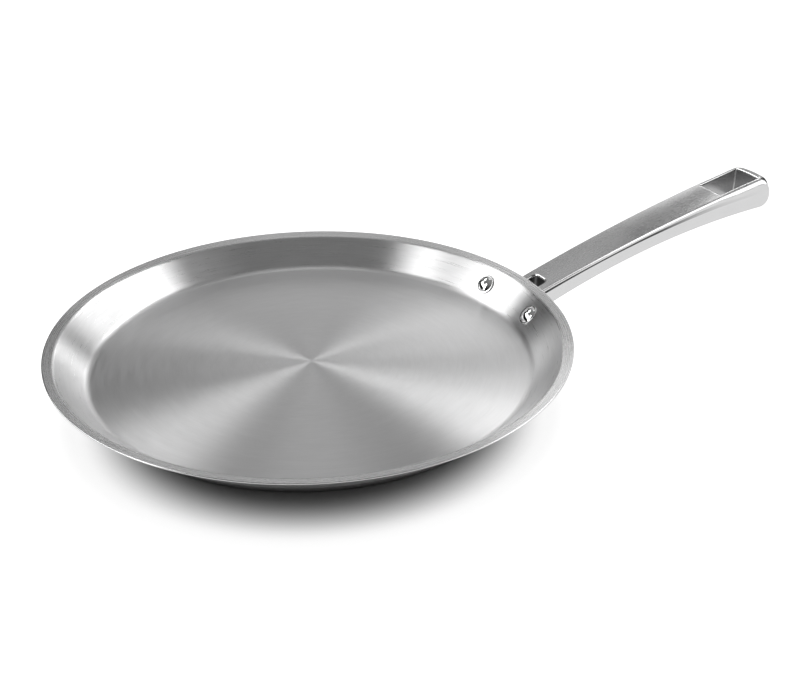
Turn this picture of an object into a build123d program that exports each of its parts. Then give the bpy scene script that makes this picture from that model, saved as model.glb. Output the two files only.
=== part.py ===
from build123d import *
import os
from math import asin, cos, degrees, radians, sin, tan

# A stainless crepe pan with a sandwich base and a riveted, cast handle, in millimetres.
# The origin is the centre of the base's underside, +Z is up and the handle points along +X.

# Pressed pan body
rim_radius = 140.0  # outer edge of the lip
lip_width = 5.8  # from the wall's bend to the edge
lip_rise = 1.0  # climb of the lip on its way out
wall_height = 15.5  # floor to the lip's inner edge
wall_slope = 46.0  # degrees from level
body_sheet = 0.8
floor_bend = 6.0  # inside radius between floor and wall
lip_bend = 3.5  # radius of the crest between wall and lip
rim_round = 0.3  # dulled edge of the sheet

# Sandwich base
base_inset = 1.7  # the base ends this far inside the floor's bend
core_thickness = 5.1
cap_sheet = 0.6
cap_corner = 2.0  # outer radius of the cap's lower edge
bond_gap = 0.05  # between the core's side and the cap

# Rivets
rivet_spacing = 45.7  # centre to centre
rivet_climb = 10.8  # from the floor up the wall's face
shank_radius = 2.6
shank_clearance = 0.1
head_radius = 6.0
head_height = 2.2
head_ring = 0.8  # flat ring around the dome
head_ring_height = 0.5
tail_radius = 4.4
tail_height = 2.0
tail_ring_height = 0.4
seat_gap = 0.15  # a flat seat against the curved wall

# Mounting flange of the handle
flange_gap = 0.05
flange_thickness = 3.0
flange_low = 3.6  # up the wall's face from the floor
flange_height = 14.4
flange_margin = 8.0  # beyond each rivet's centre
flange_corner = 5.0

# Grip of the handle
grip_width = 21.6  # at the rim
tail_width = 26.0  # at the end
neck_flare = 3.0  # widening of each side towards the flange
root_drop = 2.6  # the top passes this far under the rim's level
root_depth = 13.2  # top to underside at the rim
grip_reach = 163.4  # rim to the upper edge of the end
end_bulge = 8.1  # the end's face stands out beyond that edge
tail_rise = 38.2  # that edge above the rim
tail_depth = 18.6  # from there down to the underside
shoulder_drop = 9.6  # from there down to the end's upright face
top_crown = 2.8  # rise of the top's curve over its chord
belly_crown = 7.9  # the same for the underside
end_corner = 6.0  # seen from above
shoulder_bend = 9.0
heel_bend = 4.0
top_round = 1.9
belly_round = 0.8

# Crease along each side, deepest at the rim and run out before the loop
crease_drop = 6.7  # below the rim's level where it starts
crease_rise = 26.6  # above the rim's level where it ends
crease_reach = 136.0  # rim to where it ends
crease_crown = 3.9
crease_depth = 0.8

# Forked root, hanging loop and hollowed underside
slot_width = 11.4
slot_reach = 8.5  # beyond the rim
slot_corner = 2.6
loop_wall = 3.6
loop_end_wall = 2.9
loop_length = 29.5
loop_corner = 1.8
channel_wall = 3.6
channel_depth = 6.0
channel_start = 20.0  # beyond the rim
channel_stop = 9.0  # before the loop
channel_corner = 3.5

overrun = 4.0  # tools pass this far beyond what they cut

# Levels and radii that follow from these
wall_run = wall_height / tan(radians(wall_slope))
wall_top_radius = rim_radius - lip_width
floor_radius = wall_top_radius - wall_run
flat_radius = floor_radius - floor_bend * tan(radians(wall_slope / 2))
base_radius = flat_radius - base_inset
core_radius = base_radius - cap_sheet - bond_gap
core_top = cap_sheet + core_thickness
floor_level = core_top + body_sheet
lip_level = floor_level + wall_height
rim_level = lip_level + lip_rise


def wall_point(climb, depth):
    """Radius and level of a point that lies climb up the wall's face and depth outward from it."""
    slope = radians(wall_slope)
    radius = floor_radius + climb * cos(slope) + depth * sin(slope)
    level = floor_level + climb * sin(slope) - depth * cos(slope)
    return (radius, level)


def wall_plane(azimuth):
    """Plane on the wall's face where a rivet sits, with its normal pointing into the pan."""
    radius, level = wall_point(rivet_climb, 0)
    slope = radians(wall_slope)
    turn = radians(azimuth)
    return Plane(
        origin=(radius * cos(turn), radius * sin(turn), level),
        x_dir=(-sin(turn), cos(turn), 0),
        z_dir=(-sin(slope) * cos(turn), -sin(slope) * sin(turn), cos(slope)),
    )


rivet_radius = wall_point(rivet_climb, 0)[0]
rivet_azimuth = degrees(asin(rivet_spacing / 2 / rivet_radius))
flange_back = body_sheet + flange_gap
flange_face = flange_back + flange_thickness
flange_azimuth = rivet_azimuth + degrees(flange_margin / rivet_radius)


with BuildPart() as pan_body:
    with BuildSketch(Plane.XZ):
        with BuildLine():
            FilletPolyline(
                (0, floor_level),
                (floor_radius, floor_level),
                (wall_top_radius, lip_level),
                (rim_radius, rim_level),
                radius=(floor_bend, lip_bend),
            )
            offset(amount=body_sheet, side=Side.RIGHT)
        make_face()
    revolve(axis=Axis.Z)
    rim_edges = pan_body.edges().filter_by(GeomType.CIRCLE).sort_by(SortBy.RADIUS)[-2:]
    fillet(rim_edges, radius=rim_round)
    for azimuth in (rivet_azimuth, -rivet_azimuth):
        with Locations(wall_plane(azimuth).offset(overrun)):
            Hole(radius=shank_radius + shank_clearance, depth=overrun + body_sheet + overrun)

pan_body.part.label = "pan_body"


with BuildPart() as base_core:
    with BuildSketch(Plane.XY.offset(cap_sheet)):
        Circle(core_radius)
    extrude(amount=core_thickness)
    lower_edge = base_core.edges().group_by(Axis.Z)[0]
    fillet(lower_edge, radius=cap_corner - cap_sheet)

base_core.part.label = "base_core"


with BuildPart() as base_cap:
    with BuildSketch(Plane.XY):
        Circle(base_radius)
    extrude(amount=core_top)
    fillet(base_cap.edges().group_by(Axis.Z)[0], radius=cap_corner)
    offset(amount=-cap_sheet, openings=base_cap.faces().sort_by(Axis.Z)[-1])

base_cap.part.label = "base_cap"


def rivet(azimuth):
    """One rivet as a turned profile: ringed dome in the pan, shank, and the tail formed on the flange."""
    seat = wall_plane(azimuth)
    profile = Plane(origin=seat.origin, x_dir=seat.x_dir, z_dir=-seat.y_dir)
    tail_seat = -flange_face - seat_gap
    with BuildPart() as turned:
        with BuildSketch(profile):
            with BuildLine():
                Line((0, tail_seat - tail_height), (0, seat_gap + head_height))
                TangentArc(
                    (0, seat_gap + head_height),
                    (head_radius - head_ring, seat_gap + head_ring_height),
                    tangent=(1, 0),
                )
                Polyline(
                    (head_radius - head_ring, seat_gap + head_ring_height),
                    (head_radius, seat_gap + head_ring_height),
                    (head_radius, seat_gap),
                    (shank_radius, seat_gap),
                    (shank_radius, tail_seat),
                    (tail_radius, tail_seat),
                    (tail_radius, tail_seat - tail_ring_height),
                )
                TangentArc(
                    (0, tail_seat - tail_height),
                    (tail_radius, tail_seat - tail_ring_height),
                    tangent=(1, 0),
                )
            make_face()
        revolve(axis=Axis(seat.origin, seat.z_dir))
    return turned.part


rivet_left = rivet(rivet_azimuth)
rivet_left.label = "rivet_left"
rivet_right = rivet(-rivet_azimuth)
rivet_right.label = "rivet_right"


# Places along the handle, seen from the side
neck_radius = rim_radius - lip_width / 2
end_radius = rim_radius + grip_reach + end_bulge
tail_level = rim_level + tail_rise
belly_level = tail_level - tail_depth
loop_stop = rim_radius + grip_reach - loop_end_wall
loop_start = loop_stop - loop_length
flange_middle = flange_low + flange_height / 2
root_inset = flange_height / 8

top_root = (rim_radius, rim_level - root_drop)
top_tail = (rim_radius + grip_reach, tail_level)
belly_root = (rim_radius, rim_level - root_drop - root_depth)
belly_tail = (end_radius, belly_level)
crease_root = (neck_radius, rim_level - crease_drop)
crease_tail = (rim_radius + crease_reach, rim_level + crease_rise)


def crowned(start, end, crown):
    """Points for an arc from start to end that rises crown over the middle of its chord."""
    middle = ((start[0] + end[0]) / 2, (start[1] + end[1]) / 2 + crown)
    return (start, middle, end)


def half_width(radius):
    """Half of the grip's width at a distance from the pan's axis."""
    share = (radius - rim_radius) / (end_radius - rim_radius)
    return (grip_width + (tail_width - grip_width) * share) / 2


def raised(point, rise):
    """The same point of a side view, higher by rise."""
    return (point[0], point[1] + rise)


with BuildPart() as crease:
    with BuildSketch(Plane.XZ):
        with BuildLine():
            ThreePointArc(*crowned(crease_root, crease_tail, crease_crown))
            Polyline(crease_tail, (crease_tail[0], 0), (neck_radius, 0), crease_root)
        make_face()
    extrude(amount=tail_width, both=True)
    with BuildSketch(Plane.XY):
        Polygon(
            (neck_radius, grip_width / 2 - crease_depth),
            (crease_tail[0], half_width(crease_tail[0])),
            (crease_tail[0], tail_width),
            (neck_radius, tail_width),
            align=None,
        )
    extrude(amount=tail_level, mode=Mode.INTERSECT)
    mirror(about=Plane.XZ)


with BuildPart() as channel:
    with BuildSketch(Plane.XZ):
        with BuildLine():
            roof = [raised(point, channel_depth) for point in (belly_root, belly_tail)]
            ThreePointArc(*crowned(roof[0], roof[1], belly_crown))
            Polyline(roof[1], (end_radius, 0), (rim_radius, 0), roof[0])
        make_face()
    extrude(amount=tail_width, both=True)
    channel_from = rim_radius + channel_start
    channel_to = loop_start - channel_stop
    with BuildSketch(Plane.XY) as opening:
        Polygon(
            (channel_from, channel_wall - half_width(channel_from)),
            (channel_to, channel_wall - half_width(channel_to)),
            (channel_to, half_width(channel_to) - channel_wall),
            (channel_from, half_width(channel_from) - channel_wall),
            align=None,
        )
        fillet(opening.vertices(), radius=channel_corner)
    extrude(amount=tail_level, mode=Mode.INTERSECT)


with BuildPart() as handle:
    # Grip: its side outline, kept only where the outline seen from above allows
    with BuildSketch(Plane.XZ) as side:
        with BuildLine():
            ThreePointArc(*crowned(top_root, top_tail, top_crown))
            shoulder = (end_radius, tail_level - shoulder_drop)
            Polyline(top_tail, shoulder, belly_tail)
            ThreePointArc(*crowned(belly_tail, belly_root, belly_crown))
            Polyline(
                belly_root,
                wall_point(flange_low + root_inset, flange_face),
                wall_point(flange_middle, flange_back + flange_thickness / 2),
                wall_point(flange_low + flange_height - root_inset, flange_face),
                top_root,
            )
        make_face()
        fillet(side.vertices().group_by(Axis.X)[-1].sort_by(Axis.Y)[-1], radius=shoulder_bend)
    extrude(amount=tail_width, both=True)
    with BuildSketch(Plane.XY) as outline:
        Polygon(
            (floor_radius, -grip_width / 2 - neck_flare),
            (neck_radius, -grip_width / 2),
            (end_radius, -tail_width / 2),
            (end_radius, tail_width / 2),
            (neck_radius, grip_width / 2),
            (floor_radius, grip_width / 2 + neck_flare),
            align=None,
        )
    extrude(amount=tail_level + overrun, mode=Mode.INTERSECT)

    # The end is rounded into the sides, then all round its foot
    end_edges = handle.edges().filter_by(lambda edge: edge.center().X > top_tail[0])
    fillet(end_edges.filter_by(lambda edge: abs(edge.center().Y) > tail_width / 4), radius=end_corner)
    with BuildSketch(Plane.XZ) as foot:
        Polygon(
            (0, 0),
            (rim_radius, 0),
            belly_tail,
            (end_radius, tail_level + overrun),
            (0, tail_level + overrun),
            align=None,
        )
        fillet(foot.vertices().group_by(Axis.X)[-1].sort_by(Axis.Y)[0], radius=heel_bend)
    extrude(amount=tail_width, both=True, mode=Mode.INTERSECT)

    # The upper edge is rolled all along, the lower one is eased
    long_faces = handle.faces().filter_by(GeomType.CYLINDER).sort_by(SortBy.AREA)[-2:]
    belly_face, top_face = long_faces.sort_by(Axis.Z)
    neck_faces = handle.faces().filter_by(GeomType.PLANE).filter_by(lambda face: face.center().X < rim_radius)
    neck_sides = neck_faces.sort_by(Axis.Z)[-1].edges().filter_by(Axis.Y, reverse=True)
    fillet(top_face.edges().sort_by(Axis.X)[1:] + neck_sides, radius=top_round)
    fillet(belly_face.edges().sort_by(SortBy.LENGTH)[-2:], radius=belly_round)

    add(crease.part, mode=Mode.SUBTRACT)
    add(channel.part, mode=Mode.SUBTRACT)

    # Slot that forks the root
    with BuildSketch(Plane.XY) as slot:
        Polygon(
            (floor_radius, -slot_width / 2),
            (rim_radius + slot_reach, -slot_width / 2),
            (rim_radius + slot_reach, slot_width / 2),
            (floor_radius, slot_width / 2),
            align=None,
        )
        fillet(slot.vertices().group_by(Axis.X)[-1], radius=slot_corner)
    extrude(amount=tail_level, mode=Mode.SUBTRACT)

    # Opening of the hanging loop
    with BuildSketch(Plane.XY) as loop:
        Polygon(
            (loop_start, loop_wall - half_width(loop_start)),
            (loop_stop, loop_wall - half_width(loop_stop)),
            (loop_stop, half_width(loop_stop) - loop_wall),
            (loop_start, half_width(loop_start) - loop_wall),
            align=None,
        )
        fillet(loop.vertices(), radius=loop_corner)
    extrude(amount=tail_level + overrun, mode=Mode.SUBTRACT)

    # Flange that follows the wall's outer face
    with BuildSketch(Plane.XZ.rotated((0, 0, -flange_azimuth))):
        Polygon(
            wall_point(flange_low, flange_back),
            wall_point(flange_low + flange_height, flange_back),
            wall_point(flange_low + flange_height, flange_face),
            wall_point(flange_low, flange_face),
            align=None,
        )
    revolve(axis=Axis.Z, revolution_arc=2 * flange_azimuth)
    outer_edges = handle.edges().filter_by(lambda edge: abs(edge.center().Y) > rivet_spacing / 2)
    fillet(outer_edges.filter_by(GeomType.LINE).sort_by(SortBy.LENGTH)[:4], radius=flange_corner)
    for azimuth in (rivet_azimuth, -rivet_azimuth):
        with Locations(wall_plane(azimuth).offset(overrun)):
            Hole(radius=shank_radius + shank_clearance, depth=overrun + flange_face + overrun)

handle.part.label = "handle"


os.makedirs("parts", exist_ok=True)
for piece in (pan_body.part, base_core.part, base_cap.part, rivet_left, rivet_right, handle.part):
    export_step(piece, f"parts/{piece.label}.step")
    print(piece.label, "volume", round(piece.volume), "valid", piece.is_valid)
print("rivets at", round(rivet_azimuth, 2), "degrees, base radius", round(base_radius, 2))
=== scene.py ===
import math

import bmesh
import bpy
import numpy as np
from mathutils import Matrix, Vector


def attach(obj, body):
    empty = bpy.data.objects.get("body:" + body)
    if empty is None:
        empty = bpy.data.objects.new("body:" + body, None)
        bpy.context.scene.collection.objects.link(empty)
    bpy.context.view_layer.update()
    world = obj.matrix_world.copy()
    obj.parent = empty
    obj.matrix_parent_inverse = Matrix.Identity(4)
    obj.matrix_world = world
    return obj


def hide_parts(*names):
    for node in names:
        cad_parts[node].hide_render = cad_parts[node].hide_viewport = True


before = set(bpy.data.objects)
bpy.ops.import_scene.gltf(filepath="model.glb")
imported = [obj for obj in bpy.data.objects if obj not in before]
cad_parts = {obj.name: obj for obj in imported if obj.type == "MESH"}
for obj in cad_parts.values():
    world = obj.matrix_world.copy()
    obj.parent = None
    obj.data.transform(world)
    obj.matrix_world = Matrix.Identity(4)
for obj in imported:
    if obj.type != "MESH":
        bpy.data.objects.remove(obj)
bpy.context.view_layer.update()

print("frame loaded:", ", ".join(sorted(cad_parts)))

mm = 0.001
weldDistance = 0.000002  # points nearer than this become one


# Camera and settings of the picture
cameraPlan = {
    "place": (-0.2404, -0.5425, 0.3349),
    "heading": -28.52,  # degrees, the way it looks seen from above
    "pitch": 61.73,  # degrees up from straight down
    "roll": -0.074,
    "lens": 56.205,
}


# A new object in the scene, made of this data.
def newObject(name, data):
    made = bpy.data.objects.new(name, data)
    bpy.context.scene.collection.objects.link(made)
    return made


def makeCamera(plan):
    data = bpy.data.cameras.new("camera")
    data.lens = plan["lens"]
    data.sensor_width = 36
    data.clip_start = 0.01
    data.clip_end = 40
    camera = newObject("camera", data)
    turn = Matrix.Rotation(math.radians(plan["heading"]), 4, "Z")
    lift = Matrix.Rotation(math.radians(plan["pitch"]), 4, "X")
    roll = Matrix.Rotation(math.radians(plan["roll"]), 4, "Z")
    camera.matrix_world = Matrix.Translation(plan["place"]) @ turn @ lift @ roll
    bpy.context.scene.camera = camera


makeCamera(cameraPlan)
bpy.context.scene.view_settings.view_transform = "Standard"
print("camera placed")


# Meshes from grids of points


# Quads between the neighbouring rows and columns of a grid of rows x columns points.
def gridQuads(rows, columns, around=False):
    index = np.arange(rows * columns).reshape(rows, columns)
    if around:
        index = np.hstack([index, index[:, :1]])
    corners = (index[:-1, :-1], index[:-1, 1:], index[1:, 1:], index[1:, :-1])
    return np.stack(corners, axis=-1).reshape(-1, 4)


# One closed mesh from several grids. Each is (points rows x columns x 3, uv rows x columns x 2, closed around);
# edges bent by more than sharp degrees stay sharp, masks are numbers per point.
def meshFromGrids(name, grids, sharp=35.0, masks=None):
    points, quads, uvs, start = [], [], [], 0
    for grid, uv, around in grids:
        rows, columns = grid.shape[:2]
        faces = gridQuads(rows, columns, around)
        flatUv = uv.reshape(-1, 2)[faces]
        if around:
            seam = faces % columns == 0
            last = seam & ((faces[:, :1] % columns) == columns - 1)
            flatUv[last, 0] += 1.0
        points.append(grid.reshape(-1, 3))
        quads.append(faces + start)
        uvs.append(flatUv)
        start += rows * columns
    points, quads, uvs = map(np.concatenate, (points, quads, uvs))
    mesh = bpy.data.meshes.new(name)
    mesh.vertices.add(len(points))
    mesh.vertices.foreach_set("co", points.astype(np.float32).ravel())
    mesh.loops.add(quads.size)
    mesh.loops.foreach_set("vertex_index", quads.astype(np.int32).ravel())
    mesh.polygons.add(len(quads))
    mesh.polygons.foreach_set("loop_start", np.arange(0, quads.size, 4, dtype=np.int32))
    mesh.update(calc_edges=True)
    layer = mesh.uv_layers.new(name="run")
    layer.data.foreach_set("uv", uvs.astype(np.float32).ravel())
    for label, values in (masks or {}).items():
        mesh.attributes.new(label, "FLOAT", "POINT").data.foreach_set("value", values.astype(np.float32))
    work = bmesh.new()
    work.from_mesh(mesh)
    bmesh.ops.remove_doubles(work, verts=work.verts, dist=weldDistance)
    bmesh.ops.dissolve_degenerate(work, edges=work.edges, dist=weldDistance / 2)
    bmesh.ops.recalc_face_normals(work, faces=work.faces)
    work.to_mesh(mesh)
    work.free()
    mesh.shade_smooth()
    mesh.set_sharp_from_angle(angle=math.radians(sharp))
    return newObject(name, mesh)


# Arrays one after another.
def join(*parts):
    return np.concatenate(parts)


# A column of count angles from 0 to 90 degrees.
def quarterTurn(count):
    return np.radians(np.linspace(0, 90, count))[:, None]


# Unit vectors at count angles from start to stop degrees, as rows of (cosine, sine).
def unitWays(start, stop, count):
    angle = np.radians(np.linspace(start, stop, count))
    return np.stack([np.cos(angle), np.sin(angle)], axis=1)


# A path of straight runs whose inner corners are arcs tangent to both runs.
# Gives its points and the unit normals to the left of its way.
def bentPath(corners, radii, runSteps, arcSteps):
    corners = [np.array(corner, float) for corner in corners]
    points, normals, before = [], [], corners[0]
    for number in range(1, len(corners)):
        end = corners[number]
        way = end - corners[number - 1]
        way /= np.linalg.norm(way)
        left = np.array([-way[1], way[0]])
        if number == len(corners) - 1:
            stop = end
        else:
            onward = corners[number + 1] - end
            onward /= np.linalg.norm(onward)
            turn = math.atan2(way[0] * onward[1] - way[1] * onward[0], way @ onward)
            radius = radii[number - 1]
            stop = end - way * radius * math.tan(abs(turn) / 2)
        share = np.linspace(0, 1, runSteps[number - 1])[:, None]
        points.append(before + (stop - before) * share)
        normals.append(np.repeat(left[None], len(share), axis=0))
        if number < len(corners) - 1:
            centre = stop + left * radius * math.copysign(1, turn)
            angle = (np.linspace(0, 1, arcSteps[number - 1])[1:-1] * turn)[:, None]
            arm = stop - centre
            cosine, sine = np.cos(angle), np.sin(angle)
            swung = np.hstack([arm[0] * cosine - arm[1] * sine, arm[0] * sine + arm[1] * cosine])
            points.append(centre + swung)
            normals.append(-swung / radius * math.copysign(1, turn))
            before = end + onward * radius * math.tan(abs(turn) / 2)
    return np.concatenate(points), np.concatenate(normals)


# Running length of a line of points.
def runLength(line):
    return join([0], np.cumsum(np.linalg.norm(np.diff(line, axis=0), axis=1)))


# A turned surface: a closed profile of (radius, level) carried round the Z axis.
def turnedGrid(profile, columns):
    angle = np.linspace(0, 2 * math.pi, columns, endpoint=False)
    radius, level = profile[:, :1], profile[:, 1:] + 0 * angle
    grid = np.stack([radius * np.cos(angle), radius * np.sin(angle), level], axis=-1)
    length = runLength(profile)[:, None] / mm / 100
    return grid, np.stack(np.broadcast_arrays(angle / (2 * math.pi), length), axis=-1)


# Pan body: sheet pressed into a flat floor, a sloping wall and a nearly level lip
panPlan = {
    "rimRadius": 139.99,
    "lipWidth": 5.8,
    "lipRise": 1.0,
    "wallHeight": 15.5,
    "wallSlope": 46.0,
    "sheet": 0.8,
    "floorBend": 6.0,
    "lipBend": 3.5,
    "rimRound": 0.3,
    "floorLevel": 6.5,
    "poleRing": 0.4,  # radius of the first ring round the middle
    "columns": 480,
}
wallSlope = math.radians(panPlan["wallSlope"])
wallTop = panPlan["rimRadius"] - panPlan["lipWidth"]
floorRadius = wallTop - panPlan["wallHeight"] / math.tan(wallSlope)


# The sheet's upper side is a bent path from the middle to the rim, the lower side lies a sheet below it.
def makePanBody(plan):
    lipLevel = plan["floorLevel"] + plan["wallHeight"]
    rim = (plan["rimRadius"], lipLevel + plan["lipRise"])
    corners = [(0, plan["floorLevel"]), (floorRadius, plan["floorLevel"]), (wallTop, lipLevel), rim]
    upper, normal = bentPath(corners, (plan["floorBend"], plan["lipBend"]), (30, 12, 8), (16, 14))
    upper[1] = (plan["poleRing"], plan["floorLevel"])
    lower = upper - normal * plan["sheet"]
    # The rim's edge is two small quarter turns with a flat between them.
    way = np.array([normal[-1][1], -normal[-1][0]])
    turn = quarterTurn(6)
    bend = plan["rimRound"]
    topCentre = upper[-1] - way * bend - normal[-1] * bend
    bottomCentre = lower[-1] - way * bend + normal[-1] * bend
    edge = join(
        topCentre + bend * (normal[-1] * np.cos(turn) + way * np.sin(turn)),
        bottomCentre + bend * (way * np.cos(turn) - normal[-1] * np.sin(turn)),
    )
    profile = join(upper[:-1], edge, lower[:-1][::-1]) * mm
    return meshFromGrids("panBody", [(*turnedGrid(profile, plan["columns"]), True)])


panBody = makePanBody(panPlan)
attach(panBody, "root")
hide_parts("pan_body")
print("pan body made")


# Rivet: mirror-polished dome with a low ring, seen inside the pan, and the tail formed on the flange
rivetPlan = {
    "azimuth": 10.394,
    "seatRadius": 126.733,
    "seatLevel": 14.269,
    "headRadius": 6.0,
    "headHeight": 2.2,
    "headRing": 0.8,
    "headRingHeight": 0.5,
    "headRingRound": 0.22,
    "seatGap": 0.15,
    "shankRadius": 2.6,
    "flangeFace": 3.85,
    "tailRadius": 4.4,
    "tailHeight": 2.0,
    "tailRingHeight": 0.4,
    "columns": 96,
}


# Quarter-like arc that starts level at the top of the dome and ends on the ring.
def domeArc(height, radius, foot, count):
    rise = height - foot
    sphere = (radius ** 2 + rise ** 2) / (2 * rise)
    angle = np.linspace(0, math.asin(radius / sphere), count)
    return np.stack([sphere * np.sin(angle), height - sphere * (1 - np.cos(angle))], axis=1)


# A rivet is a turned profile, tilted so that its axis stands square on the wall at its azimuth.
def makeRivet(name, side, plan):
    gap, tailSeat = plan["seatGap"], -plan["flangeFace"] - plan["seatGap"]
    headRadius, shankRadius, ringTop = plan["headRadius"], plan["shankRadius"], gap + plan["headRingHeight"]
    dome = domeArc(gap + plan["headHeight"], headRadius - plan["headRing"], ringTop, 16)
    bend = plan["headRingRound"]
    ring = (headRadius - bend, ringTop - bend) + bend * unitWays(90, 0, 6)
    shank = [(headRadius, gap), (shankRadius, gap), (shankRadius, tailSeat), (plan["tailRadius"], tailSeat)]
    tail = domeArc(plan["tailHeight"], plan["tailRadius"], plan["tailRingHeight"], 12)
    tail[:, 1] = tailSeat - tail[:, 1]
    profile = join(dome, ring, np.array(shank), tail[::-1]) * mm
    grid, uv = turnedGrid(profile, plan["columns"])
    azimuth = math.radians(side * plan["azimuth"])
    cosine, sine = math.cos(azimuth), math.sin(azimuth)
    inward = np.array([-math.sin(wallSlope) * cosine, -math.sin(wallSlope) * sine, math.cos(wallSlope)])
    across = np.array([-sine, cosine, 0])
    climb = np.cross(inward, across)
    seat = np.array([plan["seatRadius"] * cosine, plan["seatRadius"] * sine, plan["seatLevel"]]) * mm
    grid = seat + grid[..., :1] * across + grid[..., 1:2] * climb + grid[..., 2:] * inward
    rivet = meshFromGrids(name, [(grid, uv, True)])
    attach(rivet, "root")
    return rivet


rivetLeft = makeRivet("rivetLeft", 1, rivetPlan)
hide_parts("rivet_left")
rivetRight = makeRivet("rivetRight", -1, rivetPlan)
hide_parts("rivet_right")
print("rivets made")


# Base cap: thin dish under the aluminium core
capPlan = {"radius": 114.98, "sheet": 0.6, "corner": 2.0, "top": 5.7, "columns": 360}


# The dish's outer side is a bent path from the middle over the corner to its top, the inner side runs back.
def makeBaseCap(plan):
    corners = [(0, 0), (plan["radius"], 0), (plan["radius"], plan["top"])]
    outer, normal = bentPath(corners, (plan["corner"],), (16, 8), (12,))
    inner = outer + normal * plan["sheet"]
    profile = join(outer, inner[::-1]) * mm
    return meshFromGrids("baseCap", [(*turnedGrid(profile, plan["columns"]), True)])


baseCap = makeBaseCap(capPlan)
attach(baseCap, "root")
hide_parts("base_cap")
print("base cap made")


# Handle: one casting, built from grids for the half with y >= 0 and mirrored.
# Lengths in millimetres; arcs are (start, end, crown) seen from the side as (x, z).
handlePlan = {
    "topArc": ((140.0, 20.4), (303.4, 61.2), 2.8),
    "bellyArc": ((140.0, 6.4), (311.5, 41.7), 7.9),
    "creaseArc": ((137.1, 15.9), (276.0, 49.5), 3.9),
    "rootTop": (131.0, 13.906),  # the prongs run on into the flange to here
    "rootBelly": (124.8, 7.597),
    "neck": (137.1, 10.8, 0.168),  # place, half width there and widening towards the flange
    "tail": (311.5, 13.0),
    "tailCorner": 4.6,
    "tailBow": (0.15, 1.2),  # how far the end bulges in the middle, below and at the top edge
    "shoulder": (305.4, 61.6, 51.6, 9.0),  # upper edge x and z, level of the bend, its radius
    "topRound": ((140.0, 0.6), (220.0, 0.75), (268.0, 1.0), (282.0, 1.75), (300.0, 1.75), (305.4, 3.2)),
    "topTilt": ((140.0, 50.0), (282.0, 50.0)),  # how steep the rounding begins, degrees
    "endTilt": 8.0,  # and how steep it begins on the end
    "topCrown": (0.45, 10.5),  # how far the top falls, and at which distance from its middle
    "bellyRound": 0.8,
    "heelRound": (5.5, 303.0, 8.0),  # lower rounding of the end, where it begins to grow, over which length
    "creaseDepth": ((136.0, 0.0), (138.0, 0.8), (235.0, 0.6), (262.0, 0.35), (300.0, 0.0)),
    "creaseWidth": ((140.0, 1.6), (160.0, 1.9), (209.0, 2.5), (254.0, 2.6), (280.0, 4.0), (300.0, 5.0)),
    # creaseMark sets how much deeper the notch goes and how dark the painted shade in the crease is
    "creaseMark": ((138.0, 1.0), (224.0, 1.0), (240.0, 0.65), (255.0, 0.35), (275.0, 0.12), (300.0, 0.0)),
    "creaseNotch": (0.45, 0.8),  # how much deeper than the side it goes, and half its height
    "slot": (148.5, 5.7, 2.6, 0.6),  # reach, half width, corner, edge round
    "loop": (271.0, 300.5, 2.8, 1.0, 0.55, 0.2),  # start, stop, side wall, corner, edge round, and at the start
    "openingTilt": (30.0, 50.0),  # of the edges across the handle and of those along it
    # Painted shade, as darker colour, inside the slot, inside the loop at its top, at its bottom, and on the end's
    # top edge
    "paintedShadeShares": (0.8, 0.12, 0.48, 0.75),
    "channel": (160.0, 262.0, 3.6, 3.5, 0.5, 6.0, 1.5),  # start, stop, side wall, corner, edge, depth, roof round
    # Climb from and to, depth from and to, azimuth, corner, edge round
    "flange": (3.6, 18.0, 0.85, 3.85, 14.011, 5.0, 0.5),
    "stretches": ((140.0, 9), (152.0, 4), (156.0, 71), (266.0, 40)),  # where each begins, and its number of places
    "endFrom": 262.0,  # the sides begin to lean back here
}
edgeSteps = 6  # rows of points on the rounding of an opening's edge
rootSteps = 6  # places along the root, from the flange to the first stretch


# Level at x of the circle through start, end and a point crown above the middle of their chord.
def arcLevel(x, arc):
    (ax, az), (cx, cz), crown = arc
    bx, bz = (ax + cx) / 2, (az + cz) / 2 + crown
    down = 2 * (ax * (bz - cz) + bx * (cz - az) + cx * (az - bz))
    a2, b2, c2 = ax * ax + az * az, bx * bx + bz * bz, cx * cx + cz * cz
    ux = (a2 * (bz - cz) + b2 * (cz - az) + c2 * (az - bz)) / down
    uz = (a2 * (cx - bx) + b2 * (ax - cx) + c2 * (bx - ax)) / down
    return uz + np.sqrt((ax - ux) ** 2 + (az - uz) ** 2 - (x - ux) ** 2)


# Value at x on the straight lines through pairs of (place, value).
def table(x, pairs):
    return np.interp(x, [pair[0] for pair in pairs], [pair[1] for pair in pairs])


# Smooth step from 0 to 1: three squares less two cubes of the share.
def ease(share):
    share = np.clip(share, 0, 1)
    return share * share * (3 - 2 * share)


# Arc of the side view, carried on straight towards the flange.
def handleLevel(x, arc, root):
    (startX, startZ), slope = arc[0], (arc[0][1] - root[1]) / (arc[0][0] - root[0])
    return np.where(x < startX, startZ + (x - startX) * slope, arcLevel(np.maximum(x, startX), arc))


# Half width of the handle: it widens evenly from the neck to the tail, and by the flare towards the flange.
def halfWidth(x, plan):
    neckX, neckHalf, flare = plan["neck"]
    tailX, tailHalf = plan["tail"]
    grip = neckHalf + (x - neckX) * (tailHalf - neckHalf) / (tailX - neckX)
    return np.where(x < neckX, neckHalf + (neckX - x) * flare, grip)


# How far the end's face stands back at a level: upright, an arc, then a straight slant up to the top edge.
def endSetBack(level, plan):
    edgeX, edgeZ, bendZ, radius = plan["shoulder"]
    slant = (plan["tail"][0] - edgeX) / (edgeZ - bendZ)
    tangent = radius * math.tan(math.atan(slant) / 2)
    low, high = bendZ - tangent, bendZ + tangent * math.cos(math.atan(slant))
    arc = radius - np.sqrt(np.maximum(radius ** 2 - np.clip(level - low, 0, high - low) ** 2, 0))
    return np.where(level > high, (level - bendZ) * slant, arc)


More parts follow.
